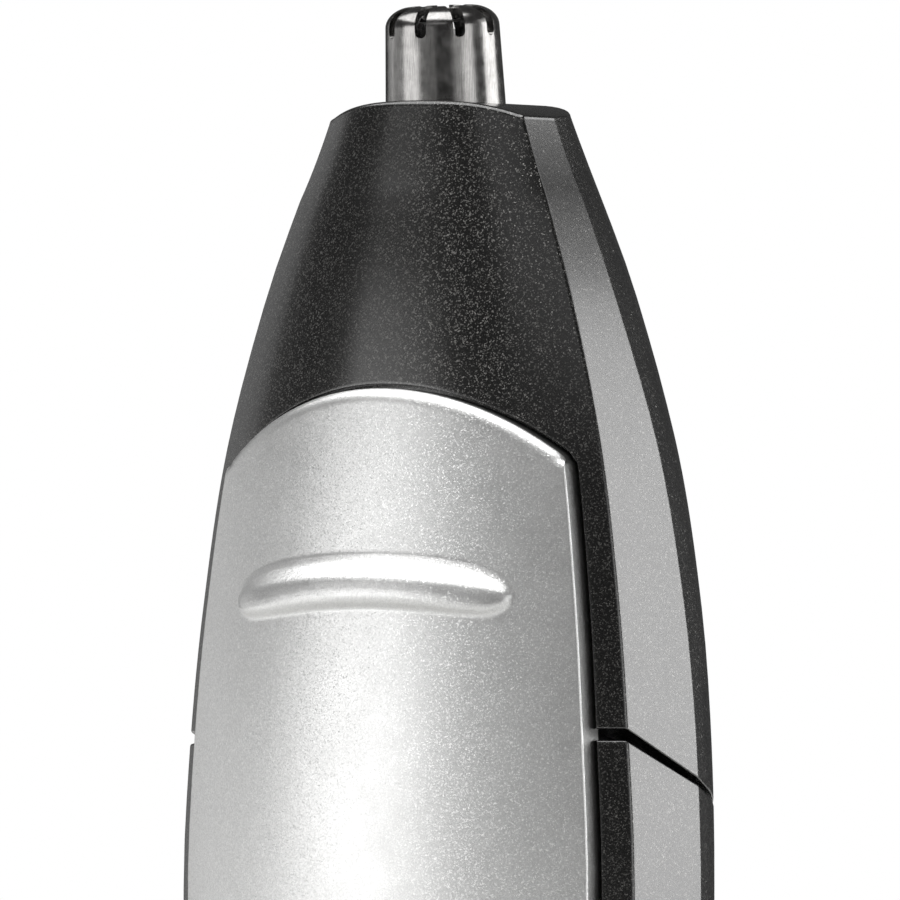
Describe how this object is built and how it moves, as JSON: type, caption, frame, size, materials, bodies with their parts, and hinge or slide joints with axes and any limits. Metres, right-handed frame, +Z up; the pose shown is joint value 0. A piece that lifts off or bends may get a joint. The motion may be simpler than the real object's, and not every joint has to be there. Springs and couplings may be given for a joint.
{
  "type": "nose hair trimmer",
  "caption": "Slim battery nose and ear hair trimmer: slotted steel tube cutter on a tapered lift-off head, long sliding switch panel on the front, pull-off battery cap.",
  "frame": {"origin": "middle of the flat underside of the battery cap, on the body's plane of symmetry", "axes": "+Z up along the body towards the cutter, +X to the right seen from the front, -Y towards the front face with the switch panel"},
  "size_m": [0.033, 0.0211, 0.1322],
  "materials": {
    "charcoal_shell": "moulded plastic with charcoal metallic flake paint, semi-gloss",
    "silver_panel": "moulded plastic with fine silver metallic paint, satin",
    "polished_steel": "drawn stainless steel, polished",
    "blade_steel": "ground steel",
    "spring_steel": "nickel-plated wire",
    "motor_steel": "zinc-plated pressed steel",
    "screw_steel": "zinc-plated steel",
    "contact_brass": "bare spring brass",
    "inner_plastic": "as moulded",
    "white_plastic": "as moulded, acetal",
    "black_rubber": "matt",
    "cell_skin": null
  },
  "bodies": {
    "handle": {"handle_housing": "charcoal_shell", "chassis": "inner_plastic", "motor_can": "motor_steel", "motor_end_bell": "white_plastic", "motor_screw_left": "screw_steel", "motor_screw_right": "screw_steel", "shaft_seal": "black_rubber", "neck_seal": "black_rubber", "battery_cell": "cell_skin", "contact_plus": "contact_brass", "negative_strip": "contact_brass", "switch_contact_left": "contact_brass", "switch_contact_right": "contact_brass"},
    "switch": {"switch_panel": "silver_panel", "switch_carrier": "inner_plastic", "panel_screw_lower": "screw_steel", "panel_screw_upper": "screw_steel", "switch_bridge": "contact_brass"},
    "head": {"head_housing": "charcoal_shell", "outer_blade": "polished_steel", "blade_retainer": "inner_plastic", "shaft_bush": "white_plastic"},
    "cutter": {"inner_blade": "blade_steel", "blade_shaft": "blade_steel", "driven_dog": "white_plastic"},
    "rotor": {"motor_shaft": "blade_steel", "drive_dog": "white_plastic", "coupling_spring": "spring_steel"},
    "battery_cap": {"base_cap": "charcoal_shell", "cap_seal": "black_rubber", "cap_contact": "contact_brass", "battery_spring": "spring_steel"}
  },
  "joints": [
    {"name": "switch_slide", "type": "slide", "parent": "handle", "child": "switch", "axis": [0, -0.06, -0.9982], "range_m": [0, 0.003]},
    {"name": "head_release", "type": "slide", "parent": "handle", "child": "head", "axis": [0, 0.1093, 0.994], "range_m": [0, 0.03]},
    {"name": "cutter_spin", "type": "hinge", "parent": "head", "child": "cutter", "pos_m": [0, -0.00097, 0.1263], "axis": [0, -0.0724, 0.9974], "continuous": true},
    {"name": "rotor_spin", "type": "hinge", "parent": "handle", "child": "rotor", "pos_m": [0, 0.00085, 0.092], "axis": [0, 0, 1], "continuous": true},
    {"name": "battery_cap_release", "type": "slide", "parent": "handle", "child": "battery_cap", "axis": [0, 0, -1], "range_m": [0, 0.018]}
  ],
  "couplings": [
    {"joint": "cutter_spin", "follows": "rotor_spin", "ratio": 1}
  ]
}
